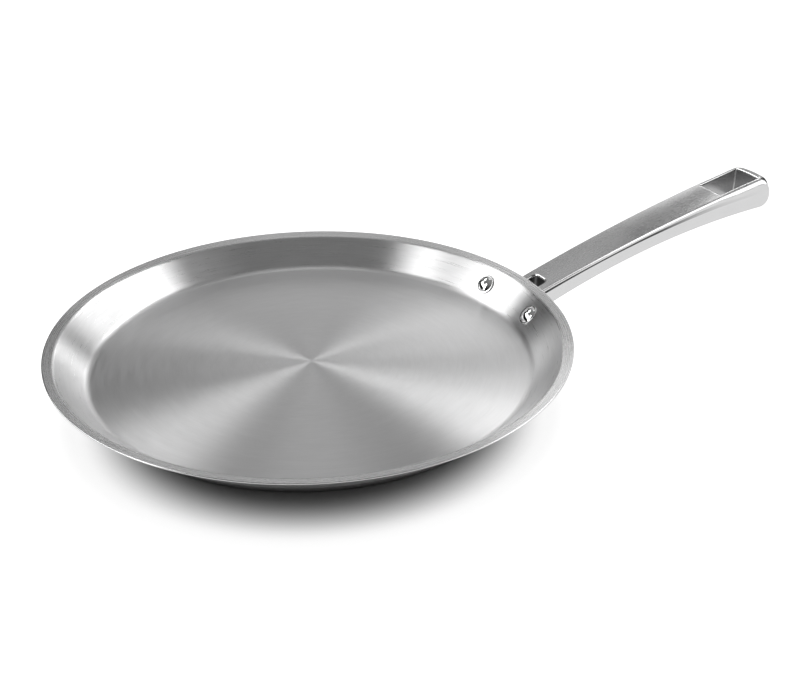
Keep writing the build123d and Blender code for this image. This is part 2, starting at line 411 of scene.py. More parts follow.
# Top and underside of the handle; the top is slightly crowned across.
def topLevel(x, y, plan):
    fall, away = plan["topCrown"]
    return handleLevel(x, plan["topArc"], plan["rootTop"]) - fall * (y / away) ** 2


def bellyLevel(x, plan):
    return handleLevel(x, plan["bellyArc"], plan["rootBelly"])


# Rows of points between two lines, laid on a surface given by its level.
def levelStrip(outer, inner, rows, level):
    share = np.linspace(0, 1, rows)[:, None, None]
    flat = outer[:, :2] + (inner[:, :2] - outer[:, :2]) * share
    grid = np.concatenate([flat, level(flat[..., 0], flat[..., 1])[..., None]], axis=-1)
    return grid, flat / 100


# Map of a wall: u is the length run along its middle row, v the length down its middle column.
def wallUv(grid):
    along = runLength(grid[grid.shape[0] // 2])
    down = runLength(grid[:, grid.shape[1] // 2])
    return np.stack(np.broadcast_arrays(along, down[:, None]), axis=-1) / 100


# A rounding that begins tilted on the flat face and ends upright: inset falls from bend to nothing,
# the drop grows with the cosine of the angle turned.
def edgeRound(bend, tilt, count):
    start = np.broadcast_to(np.radians(tilt), np.shape(bend))
    turn = start + (math.pi / 2 - start) * np.linspace(0, 1, count)[:, None]
    size = bend / (1 - np.sin(start))
    return size * (1 - np.sin(turn)), size * (np.cos(start) - np.cos(turn))


# Stations along the outline from the flange to the middle of the end: place at the top and at the underside,
# distance from the middle on the end, outward normal, share of the end's set-back. The numbers of the first
# stations past the slot, in the channel and at the loop come with them.
def handleStations(plan):
    corner, tailX = plan["tailCorner"], plan["tail"][0]
    root = np.linspace(0, 1, rootSteps + 1)[:-1]
    stretches = plan["stretches"]
    stops = [start for start, count in stretches[1:]] + [tailX - corner]
    runs = [np.linspace(start, stop, count) for (start, count), stop in zip(stretches, stops)]
    side = np.concatenate([run[:-1] for run in runs[:-1]] + runs[-1:])
    rootX, rootTopX, rootBellyX = side[0], plan["rootTop"][0], plan["rootBelly"][0]
    topX = join(rootTopX + (rootX - rootTopX) * root, side)
    bellyX = join(rootBellyX + (rootX - rootBellyX) * root, side)
    cornerHalf = float(halfWidth(np.array(tailX - corner), plan))
    ways = unitWays(90, 0, 15)[1:]
    across = np.linspace(cornerHalf - corner, 0, 9)[1:]
    topX = join(topX, tailX - corner + corner * ways[:, 0], np.full(len(across), tailX))
    bellyX = join(bellyX, topX[len(bellyX):])
    count = len(root) + len(side)
    y = join(np.full(count, np.nan), cornerHalf - corner + corner * ways[:, 1], across)
    normal = np.zeros((len(topX), 2))
    normal[:count] = (0, 1)
    normal[count:count + len(ways)] = ways
    normal[count + len(ways):] = (1, 0)
    pull = ease((topX - plan["endFrom"]) / (tailX - corner - plan["endFrom"]))
    firsts = rootSteps + np.cumsum([count - 1 for start, count in stretches[:3]])
    return {"topX": topX, "bellyX": bellyX, "y": y, "normal": normal, "pull": pull}, firsts.tolist()


# The side of the handle: rolled upper edge, bead, crease, plain side, eased lower edge.
# Every point is the outline at its own level, moved in along the outline's normal.
def handleSide(stations, plan):
    topX, bellyX, pull, fixedY = [stations[name] for name in ("topX", "bellyX", "pull", "y")]
    outX, outY = stations["normal"].T
    edgeX = topX - pull * (plan["tail"][0] - plan["shoulder"][0])
    edgeY = np.where(np.isnan(fixedY), halfWidth(edgeX, plan), fixedY)
    topZ, bellyZ = topLevel(edgeX, edgeY, plan), bellyLevel(bellyX, plan)
    bend = table(edgeX, plan["topRound"])
    heelSize, heelFrom, heelLength = plan["heelRound"]
    heel = plan["bellyRound"] + (heelSize - plan["bellyRound"]) * ease((topX - heelFrom) / heelLength)
    depth, width = table(edgeX, plan["creaseDepth"]), table(edgeX, plan["creaseWidth"])
    tilt = plan["endTilt"] + (table(edgeX, plan["topTilt"]) - plan["endTilt"]) * outY ** 2
    roundRows, beadRows, creaseRows = 12, 3, 13
    roundInset, roundDrop = edgeRound(bend, tilt, roundRows)
    upper, lower = topZ - roundDrop[-1], bellyZ + heel
    foot = arcLevel(edgeX, plan["creaseArc"]) - 0.6 * depth
    head = np.minimum(foot + width, upper - 0.15)
    mark = table(edgeX, plan["creaseMark"])
    notch, rise = plan["creaseNotch"]
    flat = np.array([[0.2], [0.1]])
    bead = np.linspace(0, 1, beadRows + 2)[1:-1, None]
    fall = np.linspace(0, 1, creaseRows)[:, None]
    back = np.array([[0.5], [1.0]])
    down = join([0.006, 0.03], np.linspace(0, 1, 9)[1:-1])[:, None]
    turn, start = quarterTurn(9), foot - rise
    rows = [  # inset, level, and which surface the level is measured from
        (bend + flat, 0 * flat, "top"),
        (roundInset, roundDrop, "top"),
        (0, upper + (head - upper) * bead, "level"),
        ((depth + notch * mark) * fall ** 2, head + (foot + rise - head) * fall, "level"),
        (depth + notch * mark * (1 - back), foot + rise - 2 * rise * back, "level"),
        (depth, start + (lower - start) * down, "level"),
        (depth + heel * (1 - np.cos(turn)), heel * (1 - np.sin(turn)), "belly"),
        (depth + heel + flat[::-1], 0 * flat, "belly"),
    ]
    edgeZ, bendZ = plan["shoulder"][1:3]
    bowLow, bowHigh = plan["tailBow"]
    grids = []
    for inset, value, kind in rows:
        level = {"top": topZ - value, "level": value, "belly": bellyZ + value}[kind]
        lean = np.clip((topZ - level) / (topZ - bellyZ), 0, 1)
        x = topX + (bellyX - topX) * lean - pull * endSetBack(level, plan)
        y = np.where(np.isnan(fixedY), halfWidth(x, plan), fixedY)
        high = np.clip((level - bendZ) / (edgeZ - bendZ), 0, 1)
        x = x - pull * (bowLow + (bowHigh - bowLow) * high) * (y / plan["tail"][1]) ** 2
        x, y = x - inset * outX, y - inset * outY
        if kind == "top":
            level = topLevel(x, y, plan) - value
        if kind == "belly":
            level = bellyLevel(x, plan) + value
        grids.append(np.stack([x, y, level], axis=-1))
    grid = np.concatenate(grids)
    # The painted shade mask darkens the crease under the bead and the end's top edge
    crease, satinAndShade = np.zeros(grid.shape[:2]), np.zeros(grid.shape[:2])
    edgeRows = len(flat) + roundRows
    start = edgeRows + beadRows
    crease[start:start + creaseRows] = np.linspace(0, 1, creaseRows)[:, None] ** 0.8 * mark
    crease[start + creaseRows:start + creaseRows + 2] = mark
    crease[:edgeRows] = plan["paintedShadeShares"][3] * outX ** 2 * np.linspace(1, 0.6, edgeRows)[:, None]
    # Top and underside rows are satin: rougher, and painted darker as shade
    satinAndShade[:4], satinAndShade[-4:] = 1, 1
    return grid, crease, satinAndShade


# Wall of an opening: rolled upper edge, wall and lower edge; the roundings move the outline into the metal.
def openingWall(path, normal, bend, rows, plan, lean=None):
    bend = np.broadcast_to(bend, len(path))
    tiltAcross, tiltAlong = plan["openingTilt"]
    tilt = tiltAcross + (tiltAlong - tiltAcross) * normal[:, 1] ** 2
    roundInset, roundDrop = edgeRound(bend, tilt, edgeSteps)
    turn = quarterTurn(edgeSteps)
    middleRows = rows - 2 * edgeSteps
    middle = np.zeros((middleRows, len(path)))
    inset = join(roundInset, middle, bend * (1 - np.cos(turn)))
    drop = join(roundDrop, middle + roundDrop[-1], 0 * roundDrop)
    rise = join(np.zeros((rows - edgeSteps, len(path))) + bend, bend * (1 - np.sin(turn)))
    down = np.linspace(0, 1, middleRows + 2)[1:-1]
    weight = join(np.zeros(edgeSteps), down, np.ones(edgeSteps))[:, None]
    topX, bellyX = lean or (path[:, 0], path[:, 0])
    x = topX + (bellyX - topX) * weight + inset * normal[:, 0]
    y = path[:, 1] + inset * normal[:, 1]
    level = (topLevel(x, y, plan) - drop) * (1 - weight) + (bellyLevel(x, plan) + rise) * weight
    return np.stack([x, np.broadcast_to(y, x.shape), level], axis=-1)


# Half outline of a box-shaped opening from its near middle over two rounded corners to its far middle,
# with the counts of points that the strip beside it needs; normals point into the metal.
def boxPath(start, stop, halfStart, halfStop, corner, nearCount, sideCount, farCount):
    def bent(count, centre, fromAngle, toAngle):
        ways = unitWays(fromAngle, toAngle, count // 2 + 1)
        return centre + corner * ways, ways

    nearArc, nearNormal = bent(nearCount, np.array([start + corner, halfStart - corner]), 180, 90)
    flatCount = nearCount - len(nearArc)
    flatY = np.linspace(0, halfStart - corner, flatCount + 1)[:-1]
    flat = np.stack([np.full(flatCount, start), flatY], axis=1)
    side = np.linspace(0, 1, sideCount + 2)[1:-1, None]
    sideLine = nearArc[-1] + (np.array([stop - corner, halfStop]) - nearArc[-1]) * side
    farArc, farNormal = bent(farCount, np.array([stop - corner, halfStop - corner]), 90, 0)
    farFlatCount = farCount - len(farArc)
    farFlatY = np.linspace(halfStop - corner, 0, farFlatCount + 1)[1:]
    farFlat = np.stack([np.full(farFlatCount, stop), farFlatY], axis=1)
    path = join(flat, nearArc, sideLine, farArc, farFlat)
    nearWard, sideWard = np.tile((-1.0, 0.0), (flatCount, 1)), np.tile((0.0, 1.0), (sideCount, 1))
    farWard = np.tile((1.0, 0.0), (farFlatCount, 1))
    return path, join(nearWard, nearNormal, sideWard, farNormal, farWard)


# A line of points from one point to another, both left out.
def between(start, end, count):
    share = np.linspace(0, 1, count + 2)[1:-1, None]
    return np.asarray(start) + (np.asarray(end) - np.asarray(start)) * share


# Mounting flange: a plate with rounded corners bent to the wall's cone, as rings from the middle of its
# outer face over the edge to the middle of its inner face.
def flangeGrid(plan):
    low, high, back, face, azimuth, corner, bend = plan["flange"]
    middle, reach = (low + high) / 2, math.radians(azimuth) * rivetPlan["seatRadius"]
    halfClimb = (high - low) / 2
    ways = unitWays(0, 90, 12)
    quarter = np.hstack([(reach - corner, halfClimb - corner) + corner * ways, ways])
    returning = quarter[::-1]
    ring = join(quarter, returning * (-1, 1, -1, 1), -quarter, returning * (1, -1, 1, -1))
    runs = []
    for here, onward in zip(ring, np.roll(ring, -1, axis=0)):
        count = 1 + int(np.linalg.norm(onward[:2] - here[:2]) // 2)
        runs.append(here + (onward - here) * np.linspace(0, 1, count + 1)[:-1, None])
    ring = np.concatenate(runs)
    ring, inward = ring[:, :2], -ring[:, 2:]
    turn = np.linspace(0, np.pi / 2, 6)
    leave, arrive = bend * (1 - np.cos(turn)), bend * (1 - np.sin(turn))
    inset = join([0, 0, 0], arrive, leave, [0, 0, 0])
    depth = join([face] * 3, face - leave, back + arrive, [back] * 3)
    scale = join([0.0, 0.35, 0.7], np.ones(12), [0.7, 0.35, 0.0])[:, None, None]
    flat = ring * scale + inward * inset[:, None, None]
    around, climb = flat[..., 0] / rivetPlan["seatRadius"], middle + flat[..., 1]
    radius = floorRadius + climb * math.cos(wallSlope) + depth[:, None] * math.sin(wallSlope)
    level = panPlan["floorLevel"] + climb * math.sin(wallSlope) - depth[:, None] * math.cos(wallSlope)
    grid = np.stack([radius * np.cos(around), radius * np.sin(around), level], axis=-1)
    return grid, flat[..., ::-1] / 100


# The half with y >= 0 as a list of (points, uv, painted shade mask, satin and painted shade mask), then its mirror
# image and the flange.
def makeHandle(plan):
    stations, (slotEnd, channelFrom, loopFrom) = handleStations(plan)
    side, crease, satinAndShade = handleSide(stations, plan)
    rows = side.shape[0]
    topEdge, bellyEdge = side[0], side[-1]
    top = lambda x, y: topLevel(x, y, plan)
    belly = lambda x, y: bellyLevel(x, plan)
    halves = [(side, wallUv(side), crease, satinAndShade)]

    # Slot that forks the root
    reach, half, corner, bend = plan["slot"]
    rootCount = slotEnd + 1
    straight = np.linspace(plan["stretches"][0][0], reach - corner, rootCount - rootSteps + 1)[:-1]
    leanTop = join(stations["topX"][:rootSteps], straight)
    leanBelly = join(stations["bellyX"][:rootSteps], straight)
    ways = unitWays(90, 0, 6)
    arc = (reach - corner, half - corner) + corner * ways
    tip = join(arc, np.stack([np.full(4, reach), np.linspace(half - corner, 0, 5)[1:]], axis=1))
    path = join(np.stack([leanTop, np.full(len(leanTop), half)], axis=1), tip)
    normal = join(np.tile((0.0, 1.0), (len(leanTop), 1)), ways, np.tile((1.0, 0.0), (4, 1)))
    leanTop = join(leanTop, tip[:, 0])
    leanBelly = join(leanBelly, tip[:, 0])
    slotWall = openingWall(path, normal, bend, rows, plan, (leanTop, leanBelly))
    inside = np.clip(np.arange(rows) - 4, 0, 2)[:, None] / 2
    # Painted shade inside the slot
    halves.append((slotWall, wallUv(slotWall), plan["paintedShadeShares"][0] * inside, 0))
    tipCount = len(path) - rootCount
    for edge, wallEdge, level in ((topEdge, slotWall[0], top), (bellyEdge, slotWall[-1], belly)):
        last = edge[slotEnd]
        middle = (last[0], 0, 0)
        line = join(edge[:rootCount], between(last, middle, tipCount - 1), [middle])
        halves.append((*levelStrip(line, wallEdge, 7, level), 0, 1))
    cap = np.stack([side[:, 0], slotWall[:, 0]])
    halves.append((cap, np.zeros(cap.shape[:2] + (2,)), 0, 1))

    # Plain stretches of top and underside between the openings
    for edge, level, stop in ((topEdge, top, loopFrom), (bellyEdge, belly, channelFrom)):
        outer = edge[slotEnd:stop + 1]
        halves.append((*levelStrip(outer, outer * (1, 0, 1), tipCount + 1, level), 0, 1))

    # Opening of the hanging loop
    start, stop, wall, corner, bend, startBend = plan["loop"]
    outerCount = side.shape[1] - loopFrom
    nearCount, farCount, loopRows = tipCount + 1, 14, 40
    sideCount = outerCount - farCount - 1
    halfStart, halfStop = halfWidth(np.array([start, stop]), plan) - wall
    path, normal = boxPath(start, stop, halfStart, halfStop, corner, nearCount, sideCount, farCount)
    bend = startBend + (bend - startBend) * ease((path[:, 0] - start) / 2)
    loopWall = openingWall(path, normal, bend, loopRows, plan)
    inside = np.clip(np.arange(loopRows) - 4, 0, 2) / 2
    # Painted shade inside the loop, darker towards its bottom
    loopShade = inside * np.linspace(plan["paintedShadeShares"][1], plan["paintedShadeShares"][2], loopRows)
    halves.append((loopWall, wallUv(loopWall), loopShade[:, None], 0))
    for edge, wallEdge, level in ((topEdge, loopWall[0], top), (bellyEdge, loopWall[-1], belly)):
        near = edge[loopFrom]
        middle = (near[0], 0, 0)
        line = join([middle], between(middle, near * (1, 1, 0), nearCount - 2), edge[loopFrom:])
        # Painted shade on these strips where they turn round the end
        endwards = join(np.zeros(nearCount - 1), stations["normal"][loopFrom:, 0] ** 2)
        halves.append((*levelStrip(line, wallEdge[:len(line)], 5, level), plan["paintedShadeShares"][3] * endwards, 1))

    # Hollow of the underside: wall, then its roof down to the middle line
    start, stop, wall, corner, bend, depth, roofBend = plan["channel"]
    sideCount = loopFrom - channelFrom + 1
    endCount = tipCount + 1
    halfStart, halfStop = halfWidth(np.array([start, stop]), plan) - wall
    path, normal = boxPath(start, stop, halfStart, halfStop, corner, endCount, sideCount - 2, endCount)
    turn = quarterTurn(6)
    leave, arrive = 1 - np.cos(turn), 1 - np.sin(turn)
    inset = join(bend * arrive, np.zeros((6, 1)), -roofBend * leave)
    upright = bend + (depth - roofBend - bend) * np.linspace(0, 1, 8)[1:-1, None]
    climb = join(bend * leave, upright, depth - roofBend * arrive)
    x, y = path[:, 0] + inset * normal[:, 0], path[:, 1] + inset * normal[:, 1]
    hollow = np.stack([x, np.maximum(y, 0), bellyLevel(x, plan) + climb], axis=-1)
    halves.append((hollow, wallUv(hollow), 0, 1))
    spine = np.clip(path[:, :1], start + 5, stop - 5) * (1, 0, 0)
    roof = lambda x, y: bellyLevel(x, plan) + depth
    halves.append((*levelStrip(hollow[-1], spine, 4, roof), 0, 1))
    near, far = bellyEdge[channelFrom], bellyEdge[loopFrom]
    nearMiddle, farMiddle = (near[0], 0, 0), (far[0], 0, 0)
    across = between(nearMiddle, near * (1, 1, 0), endCount - 2)
    back = between(far * (1, 1, 0), farMiddle, endCount - 2)
    line = join([nearMiddle], across, bellyEdge[channelFrom:loopFrom + 1], back, [farMiddle])
    halves.append((*levelStrip(line, hollow[0], 5, belly), 0, 1))

    grids, masks = [], {"crease": [], "satinAndShade": []}
    flange, uv = flangeGrid(plan)
    whole = [(grid * (1, flip, 1), uv, False, marks) for grid, uv, *marks in halves for flip in (1, -1)]
    for grid, uv, around, marks in whole + [(flange, uv, True, (0, 1))]:
        grids.append((grid * mm, uv, around))
        for label, mark in zip(masks, marks):
            masks[label].append(np.broadcast_to(mark, grid.shape[:2]).ravel())
    masks = {label: np.concatenate(values) for label, values in masks.items()}
    return meshFromGrids("castHandle", grids, 40.0, masks)


handle = makeHandle(handlePlan)
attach(handle, "root")
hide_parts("handle")
print("handle made")


# Finishes
noiseSpan = (0.3, 0.7)  # the usual lowest and highest value of a noise
ringSpan = (0.55, 1.15)  # the same for a ring grain's fine noise plus coarseShare of its coarse one
coarseShare = 0.7


# A node with its settings; its sockets take a link from another node's socket or a value.
def addNode(tree, kind, sockets=None, **settings):
    node = tree.nodes.new(kind)
    for setting, value in settings.items():
        setattr(node, setting, value)
    for socket, value in (sockets or {}).items():
        if isinstance(value, bpy.types.NodeSocket):
            tree.links.new(value, node.inputs[socket])
        else:
            node.inputs[socket].default_value = value
    return node


# One output of a new shader node.
def outOf(tree, kind, sockets=None, output=0, **settings):
    return addNode(tree, "ShaderNode" + kind, sockets, **settings).outputs[output]


# A value spread from its own span to another, evenly or with soft ends.
def spread(tree, value, span, low, high, smooth=False):
    kind = "SMOOTHSTEP" if smooth else "LINEAR"
    sockets = {0: value, 1: span[0], 2: span[1], 3: low, 4: high}
    return outOf(tree, "MapRange", sockets, interpolation_type=kind)


def mathOf(tree, operation, *values):
    return outOf(tree, "Math", dict(enumerate(values)), operation=operation)


def vectorOf(tree, operation, sockets, output=0):
    return outOf(tree, "VectorMath", sockets, output, operation=operation)


def partsOf(tree, vector):
    return addNode(tree, "ShaderNodeSeparateXYZ", {0: vector}).outputs


def noiseOf(tree, place, scale, detail, rough):
    return outOf(tree, "TexNoise", {"Vector": place, "Scale": scale, "Detail": detail, "Roughness": rough})


def bumpOf(tree, height, plan):
    return outOf(tree, "Bump", {"Strength": plan["bump"], "Distance": plan["bumpDepth"], "Height": height})


def blendOf(tree, share, color, other):
    return outOf(tree, "Mix", {0: share, 6: color, 7: other}, 2, data_type="RGBA")


def newGroup(name, inputs, outputs):
    tree = bpy.data.node_groups.new(name, "ShaderNodeTree")
    for socket, value in inputs.items():
        kind = "NodeSocketVector" if value is None else "NodeSocketFloat"
        made = tree.interface.new_socket(socket, in_out="INPUT", socket_type=kind)
        if value is not None:
            made.default_value = value
    for socket in outputs:
        tree.interface.new_socket(socket, in_out="OUTPUT", socket_type="NodeSocketFloat")
    return tree, addNode(tree, "NodeGroupInput").outputs, addNode(tree, "NodeGroupOutput")


# Node group: rings round the Z axis as a lathe or a polishing wheel leaves them. Radius plus a share of the
# height gives the ring, the direction seen from the axis breaks each ring into long arcs.
def makeSpunGrain():
    inputs = {"Point": None, "Rings": 1500.0, "Break": 6.0, "Climb": 0.4}
    tree, given, result = newGroup("spunGrain", inputs, ("Fine", "Coarse", "Radius"))
    parts = partsOf(tree, given["Point"])
    flat = outOf(tree, "CombineXYZ", {0: parts[0], 1: parts[1]})
    radius = vectorOf(tree, "LENGTH", {0: flat}, "Value")
    way = vectorOf(tree, "NORMALIZE", {0: flat})
    run = mathOf(tree, "MULTIPLY_ADD", parts[2], given["Climb"], radius)
    wayParts = partsOf(tree, way)
    around = [mathOf(tree, "MULTIPLY", wayParts[axis], given["Break"]) for axis in (0, 1)]
    for name, factor, detail in (("Fine", 1.0, 4.0), ("Coarse", 0.16, 3.0)):
        rings = mathOf(tree, "MULTIPLY", mathOf(tree, "MULTIPLY", run, given["Rings"]), factor)
        place = outOf(tree, "CombineXYZ", {0: rings, 1: around[0], 2: around[1]})
        tree.links.new(noiseOf(tree, place, 1.0, detail, 0.65), result.inputs[name])
    tree.links.new(radius, result.inputs["Radius"])
    return tree


# Node group: fine lines that run along u of the piece's own map, and slow cloudy patches.
def makeLengthGrain():
    inputs = {"Map": None, "Point": None, "Across": 900.0, "Along": 25.0, "Clouds": 60.0}
    tree, given, result = newGroup("lengthGrain", inputs, ("Lines", "Cloud"))
    parts = partsOf(tree, given["Map"])
    along = mathOf(tree, "MULTIPLY", parts[0], given["Along"])
    across = mathOf(tree, "MULTIPLY", parts[1], given["Across"])
    place = outOf(tree, "CombineXYZ", {0: along, 1: across})
    tree.links.new(noiseOf(tree, place, 1.0, 3.0, 0.6), result.inputs["Lines"])
    tree.links.new(noiseOf(tree, given["Point"], given["Clouds"], 3.0, 0.55), result.inputs["Cloud"])
    return tree


spunGrain = makeSpunGrain()
lengthGrain = makeLengthGrain()


def newMaterial(name):
    material = bpy.data.materials.new(name)
    material.use_nodes = True
    material.node_tree.nodes.clear()
    return material, material.node_tree


# The ring grain with a plan's values, and both of its noises added up.
def placeRings(tree, plan):
    point = outOf(tree, "TexCoord", output="Object")
    sockets = {"Point": point, "Rings": plan["rings"], "Break": plan["break"], "Climb": plan["climb"]}
    grain = addNode(tree, "ShaderNodeGroup", sockets, node_tree=spunGrain).outputs
    return grain, mathOf(tree, "MULTIPLY_ADD", grain["Coarse"], coarseShare, grain["Fine"])


# The length grain with a plan's values.
def placeLines(tree, plan):
    coordinates = addNode(tree, "ShaderNodeTexCoord").outputs
    sockets = {"Map": coordinates["UV"], "Point": coordinates["Object"],
               "Across": plan["across"], "Along": plan["along"], "Clouds": plan["clouds"]}
    return addNode(tree, "ShaderNodeGroup", sockets, node_tree=lengthGrain).outputs


def metalShader(tree, color, rough, sockets):
    sockets = {"Base Color": color, "Metallic": 1.0, "Roughness": rough, **sockets}
    addNode(tree, "ShaderNodeOutputMaterial", {0: outOf(tree, "BsdfPrincipled", sockets)})


# Spun stainless sheet: rings in bump, roughness and shade; the highlight spreads across the rings.
spunPlan = {
    "steel": (0.60, 0.60, 0.602),
    "shade": 0.05,  # how much the rings lighten and darken the floor
    "wallShade": 0.08,
    "floorRough": 0.33,
    "wallRough": 0.31,
    "lipRough": 0.27,
    "wallSpan": (0.1165, 0.1205),  # radii in metres over which floor becomes wall
    "lipSpan": (0.1325, 0.1355),  # and wall becomes lip
    "roughSwing": 0.05,
    "rings": 1900.0,
    "break": 5.0,
    "climb": 0.4,
    "bump": 0.10,
    "bumpDepth": 0.0002,
    "anisotropic": 0.9,
    "grainTurn": 0.25,
}


def makeSpunSteel(plan):
    material, tree = newMaterial("spunSteel")
    grain, lines = placeRings(tree, plan)
    onWall = spread(tree, grain["Radius"], plan["wallSpan"], plan["floorRough"], plan["wallRough"], True)
    onLip = spread(tree, grain["Radius"], plan["lipSpan"], 0.0, plan["lipRough"] - plan["wallRough"], True)
    ringRough = spread(tree, grain["Fine"], noiseSpan, -plan["roughSwing"], plan["roughSwing"])
    rough = mathOf(tree, "ADD", mathOf(tree, "ADD", onWall, onLip), ringRough)
    shade = spread(tree, grain["Radius"], plan["wallSpan"], plan["shade"], plan["wallShade"], True)
    swing = mathOf(tree, "MULTIPLY_ADD", spread(tree, lines, ringSpan, -1.0, 1.0), shade, 1.0)
    color = vectorOf(tree, "SCALE", {0: plan["steel"], "Scale": swing})
    metalShader(tree, color, rough, {
        "Normal": bumpOf(tree, lines, plan),
        "Tangent": outOf(tree, "Tangent", direction_type="RADIAL", axis="Z"),
        "Anisotropic": plan["anisotropic"],
        "Anisotropic Rotation": plan["grainTurn"],
    })
    return material


# Cast and satin-ground handle: lines along it, faint clouds, painted shade that darkens the crease, the slot, the
# loop and the end's top edge, and the satin parts painted darker as shade.
castPlan = {
    "steel": (0.66, 0.66, 0.662),
    "satinAndShade": (0.52, 0.52, 0.522),  # blasted top and underside, coloured darker than the polished steel as painted shade
    # colour of the painted shade
    "crease": (0.07, 0.07, 0.07),
    "rough": 0.19,
    "satinRough": 0.27,
    "creaseRough": 0.2,  # what the crease adds
    "swing": 0.015,  # of roughness and shade
    "bump": 0.006,
    "bumpDepth": 0.0001,
    "across": 500.0,
    "along": 12.0,
    "clouds": 70.0,
}


def makeCastSteel(plan):
    material, tree = newMaterial("castSteel")
    grain, swing = placeLines(tree, plan), plan["swing"]
    crease, satinAndShade = [outOf(tree, "Attribute", output="Fac", attribute_name=name) for name in ("crease", "satinAndShade")]
    rough = spread(tree, satinAndShade, (0.0, 1.0), plan["rough"], plan["satinRough"])
    for name in ("Lines", "Cloud"):
        rough = mathOf(tree, "ADD", rough, spread(tree, grain[name], noiseSpan, -swing, swing))
    rough = mathOf(tree, "MULTIPLY_ADD", crease, plan["creaseRough"], rough)
    shade = spread(tree, grain["Cloud"], noiseSpan, 1 - swing, 1 + swing)
    # Satin parts take a darker colour: painted shade on top of their real roughness
    steel = blendOf(tree, satinAndShade, plan["steel"] + (1,), plan["satinAndShade"] + (1,))
    steel = vectorOf(tree, "SCALE", {0: steel, "Scale": shade})
    # The painted shade mask blends in the dark shade colour
    color = blendOf(tree, crease, steel, plan["crease"] + (1,))
    metalShader(tree, color, rough, {"Normal": bumpOf(tree, grain["Lines"], plan)})
    return material


# Polished rivets: nearly a mirror, with a breath of fine wiping marks.
rivetFinish = {
    "steel": (0.68, 0.68, 0.68),
    "rough": 0.07,
    "swing": 0.03,  # of roughness and shade
    "across": 300.0,
    "along": 8.0,
    "clouds": 500.0,
}


def makeRivetSteel(plan):
    material, tree = newMaterial("rivetSteel")
    grain, swing = placeLines(tree, plan), plan["swing"]
    rough = spread(tree, grain["Lines"], noiseSpan, plan["rough"] - swing, plan["rough"] + swing)
    shade = spread(tree, grain["Cloud"], noiseSpan, 1 - swing, 1 + swing)
    metalShader(tree, vectorOf(tree, "SCALE", {0: plan["steel"], "Scale": shade}), rough, {})
    return material


# Turned discs: base cap and aluminium core share this finish with their own values.
turnedPlan = {"break": 3.0, "climb": 1.0, "roughSwing": 0.05, "shade": 0.06, "bumpDepth": 0.0002}
capFinish = {**turnedPlan, "steel": (0.50, 0.50, 0.50), "rough": 0.34, "rings": 900.0, "bump": 0.15}
coreFinish = {**turnedPlan, "steel": (0.80, 0.80, 0.81), "rough": 0.42, "rings": 700.0, "bump": 0.2}


def makeTurnedMetal(name, plan):
    material, tree = newMaterial(name)
    grain, lines = placeRings(tree, plan)
    roughSwing, shade = plan["roughSwing"], plan["shade"]
    rough = spread(tree, grain["Fine"], noiseSpan, plan["rough"] - roughSwing, plan["rough"] + roughSwing)
    swing = spread(tree, lines, ringSpan, 1 - shade, 1 + shade)
    color = vectorOf(tree, "SCALE", {0: plan["steel"], "Scale": swing})
    metalShader(tree, color, rough, {"Normal": bumpOf(tree, lines, plan)})
    return material


def dress(piece, material):
    piece.data.materials.clear()
    piece.data.materials.append(material)


dress(panBody, makeSpunSteel(spunPlan))
dress(handle, makeCastSteel(castPlan))
rivetSteel = makeRivetSteel(rivetFinish)
dress(rivetLeft, rivetSteel)
dress(rivetRight, rivetSteel)
dress(baseCap, makeTurnedMetal("capSteel", capFinish))
dress(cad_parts["base_core"], makeTurnedMetal("coreAluminium", coreFinish))
print("finishes made")


# Studio: white floor, softboxes as plain rectangles that only metal shows, and a lamp overhead that it doesn't.
# Each is (azimuth, elevation, roll in degrees, half width and half height as tangents from the pan, radiance).
studioPlan = {
    "distance": 1.5,
    "softboxes": {
        "leftMain": (147.0, 32.5, -3.5, 0.564, 0.162, 3.25),
        "leftEnd": (176.5, 32.1, 4.3, 0.13, 0.486, 2.6),
        "leftTop": (102.9, 47.2, 19.2, 0.18, 0.12, 2.2),
        "rightMain": (4.7, 44.6, -2.6, 0.523, 0.12, 3.4),
        "rightMiddle": (24.1, 30.0, 0.0, 0.15, 0.2, 1.38),
        "rightEdge": (41.1, 11.5, -37.5, 0.08, 0.397, 1.0),
        "rightLow": (-34.0, 14.0, 0.0, 0.5, 0.2, 1.65),
        "frontRight": (-63.9, 24.0, 0.0, 0.16, 0.14, 1.1),
        "backLow": (66.1, 20.0, 0.0, 0.12, 0.105, 0.9),
        "backMiddle": (66.1, 32.0, 0.0, 0.12, 0.105, 0.25),
        "backHigh": (66.1, 44.0, 0.0, 0.12, 0.105, 0.38),
        "backUpper": (66.1, 56.0, 0.0, 0.12, 0.105, 0.35),
        "backTop": (66.1, 68.0, 0.0, 0.12, 0.105, 0.7),
        "backLeft": (84.1, 14.0, 0.0, 0.16, 0.15, 0.54),
        "backRight": (50.1, 14.0, 0.0, 0.14, 0.15, 1.05),
        "backRightMiddle": (50.1, 32.0, 0.0, 0.14, 0.15, 0.08),
        "backRightInner": (39.0, 30.0, 0.0, 0.06, 0.12, 1.3),
        "backLeftInner": (87.5, 46.0, 0.0, 0.045, 0.07, 0.9),
    },
    "overhead": (66.0, 72.0, 0.0, 0.5, 0.5, 1.2),
    "floorSize": 8.0,
    "floorSteps": 9,
    "floorColor": (0.35, 0.35, 0.35, 1),
    "shade": (-0.0134, -0.0302),  # middle of the pan's soft shadow, painted into the floor's glow
    "shadeSpan": (0.082, 0.121),  # over these distances from it the floor's own white begins
    "shadeFall": 1.6,
    "floorGlow": 0.897,  # how white it gets
    "farSpan": (0.121, 0.155),  # over these the camera sees it get whiter by farGlow
    "farGlow": 0.3,
    "dimSpan": (0.8, 1.4),  # over these metal sees it go dim, down to dimShare
    "dimShare": 0.3,
    "airTop": 0.32,
    "airHaze": 0.05,  # how far up the floor's white fades, as the upward share of the direction
}


